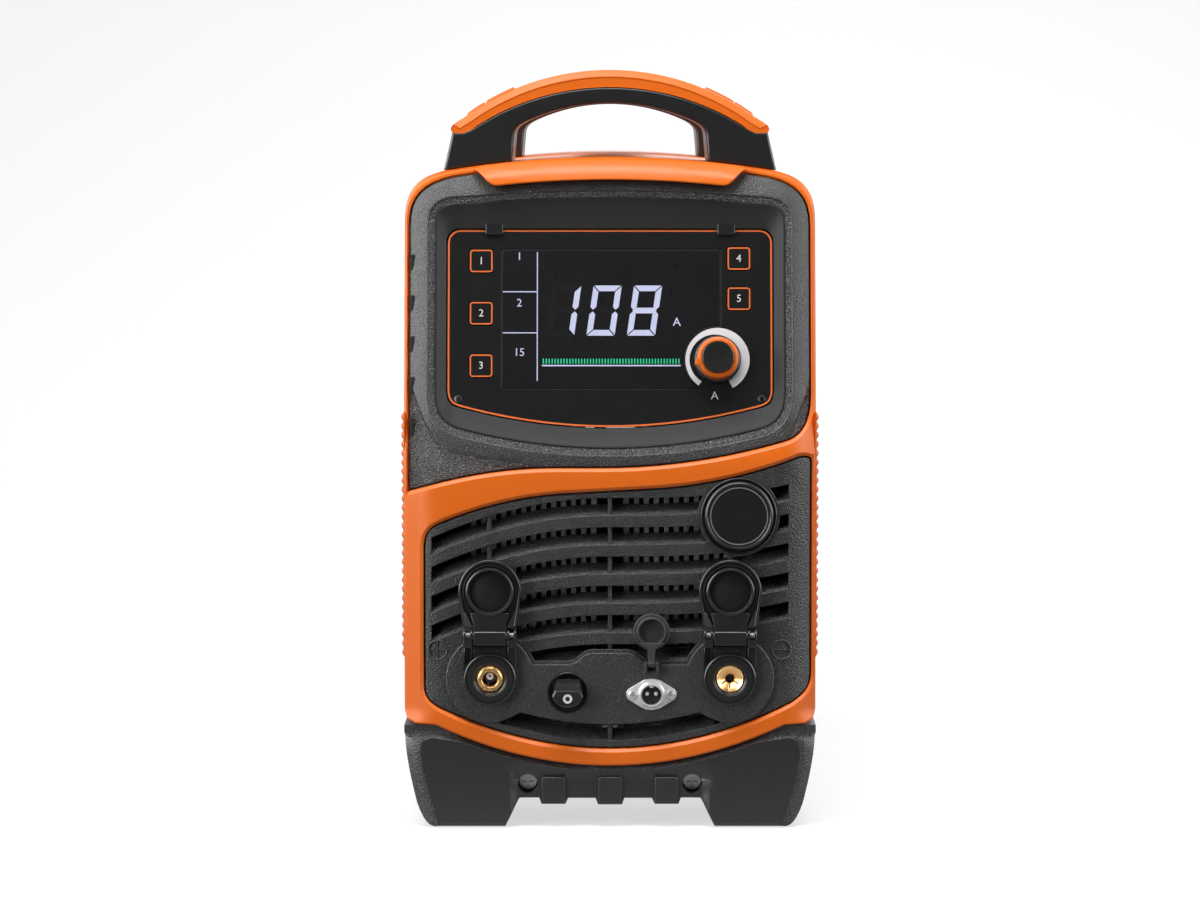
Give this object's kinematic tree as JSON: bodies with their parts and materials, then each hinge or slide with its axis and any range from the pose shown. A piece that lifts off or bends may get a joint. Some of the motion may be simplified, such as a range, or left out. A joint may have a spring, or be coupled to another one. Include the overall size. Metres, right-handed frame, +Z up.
{
  "type": "plasma cutter unit",
  "caption": "Portable inverter plasma cutter unit with leaning display panel, arched handle, louvred front, capped torch and work sockets.",
  "frame": {"origin": "centre of the bounding box, on the plane that the feet stand on", "axes": "+X to the right seen from the front, +Y from the front panel to the rear, +Z up"},
  "size_m": [0.239, 0.524, 0.434],
  "materials": {
    "orange_plastic": "satin moulded",
    "black_textured_plastic": "fine leather grain",
    "black_smooth_plastic": "smooth matt",
    "display_glass": "dark gloss",
    "silver_print": "printed silver",
    "circuit_board": "solder resist",
    "plated_steel": "zinc plated",
    "brass": "turned",
    "white_pin": "smooth",
    "black_rubber": "matt",
    "black_painted_metal": "powder coat",
    "cast_aluminium": "extruded",
    "wound_copper": "varnished winding"
  },
  "bodies": {
    "case": {"front_frame": "orange_plastic", "hood_lip": "orange_plastic", "upper_panel": "black_textured_plastic", "control_fascia": "black_smooth_plastic", "lcd_window": "display_glass", "lcd_module": "circuit_board", "control_board": "circuit_board", "encoder": "plated_steel", "scale_arc": "silver_print", "fascia_clips": "black_textured_plastic", "fascia_screws": "plated_steel", "lower_panel": "black_textured_plastic", "hub_plate": "black_textured_plastic", "badge_disc": "black_smooth_plastic", "torch_collar": "black_smooth_plastic", "torch_socket": "brass", "torch_pin": "white_pin", "torch_hinge_pin": "plated_steel", "work_collar": "black_smooth_plastic", "work_socket": "brass", "work_hinge_pin": "plated_steel", "connector_body": "plated_steel", "connector_pins": "brass", "connector_screws": "plated_steel", "cap_strap": "black_rubber", "switch_body": "black_smooth_plastic", "front_base": "black_textured_plastic", "base_screws": "plated_steel", "rear_frame": "orange_plastic", "rear_panel": "black_textured_plastic", "rear_base": "black_textured_plastic", "fan_housing": "black_smooth_plastic", "cover_left": "black_painted_metal", "cover_right": "black_painted_metal", "cover_screws": "plated_steel", "top_cover": "orange_plastic", "handle_frame": "black_textured_plastic", "handle_grip": "orange_plastic", "handle_bolts": "plated_steel", "chassis_tray": "plated_steel", "power_board": "circuit_board", "heatsinks": "cast_aluminium", "transformer": "wound_copper", "inductor": "wound_copper", "cable_gland": "black_smooth_plastic", "air_inlet": "brass", "earth_bolt": "plated_steel", "foot_pads": "black_rubber"},
    "key_1": {"key_1": "black_smooth_plastic"},
    "key_2": {"key_2": "black_smooth_plastic"},
    "key_3": {"key_3": "black_smooth_plastic"},
    "key_4": {"key_4": "black_smooth_plastic"},
    "key_5": {"key_5": "black_smooth_plastic"},
    "knob": {"knob": "black_smooth_plastic", "knob_ring": "orange_plastic"},
    "torch_cap": {"torch_cap": "black_smooth_plastic"},
    "work_cap": {"work_cap": "black_smooth_plastic"},
    "connector_cap": {"connector_cap": "black_rubber"},
    "switch_knob": {"switch_knob": "black_smooth_plastic"},
    "fan_rotor": {"fan_rotor": "black_smooth_plastic"}
  },
  "joints": [
    {"name": "key_1_press", "type": "slide", "parent": "case", "child": "key_1", "axis": [0, 0.9848, -0.1736], "range_m": [0, 0.0008], "stiffness_N_per_m": 1500},
    {"name": "key_2_press", "type": "slide", "parent": "case", "child": "key_2", "axis": [0, 0.9848, -0.1736], "range_m": [0, 0.0008], "stiffness_N_per_m": 1500},
    {"name": "key_3_press", "type": "slide", "parent": "case", "child": "key_3", "axis": [0, 0.9848, -0.1736], "range_m": [0, 0.0008], "stiffness_N_per_m": 1500},
    {"name": "key_4_press", "type": "slide", "parent": "case", "child": "key_4", "axis": [0, 0.9848, -0.1736], "range_m": [0, 0.0008], "stiffness_N_per_m": 1500},
    {"name": "key_5_press", "type": "slide", "parent": "case", "child": "key_5", "axis": [0, 0.9848, -0.1736], "range_m": [0, 0.0008], "stiffness_N_per_m": 1500},
    {"name": "knob_turn", "type": "hinge", "parent": "case", "child": "knob", "pos_m": [0.0616, -0.2329, 0.2693], "axis": [0, 0.9848, -0.1736], "continuous": true},
    {"name": "torch_cap_flip", "type": "hinge", "parent": "case", "child": "torch_cap", "pos_m": [-0.0685, -0.254, 0.1125], "axis": [1, 0, 0], "range_deg": [0, 180]},
    {"name": "work_cap_flip", "type": "hinge", "parent": "case", "child": "work_cap", "pos_m": [0.0685, -0.254, 0.1125], "axis": [1, 0, 0], "range_deg": [0, 180]},
    {"name": "connector_cap_flip", "type": "hinge", "parent": "case", "child": "connector_cap", "pos_m": [0.0237, -0.251, 0.0959], "axis": [1, 0, 0], "range_deg": [0, 180]},
    {"name": "switch_turn", "type": "hinge", "parent": "case", "child": "switch_knob", "pos_m": [-0.0241, -0.246, 0.0785], "axis": [0, 1, 0], "range_deg": [0, 90]},
    {"name": "fan_spin", "type": "hinge", "parent": "case", "child": "fan_rotor", "pos_m": [0, 0.21, 0.25], "axis": [0, 1, 0], "continuous": true}
  ]
}
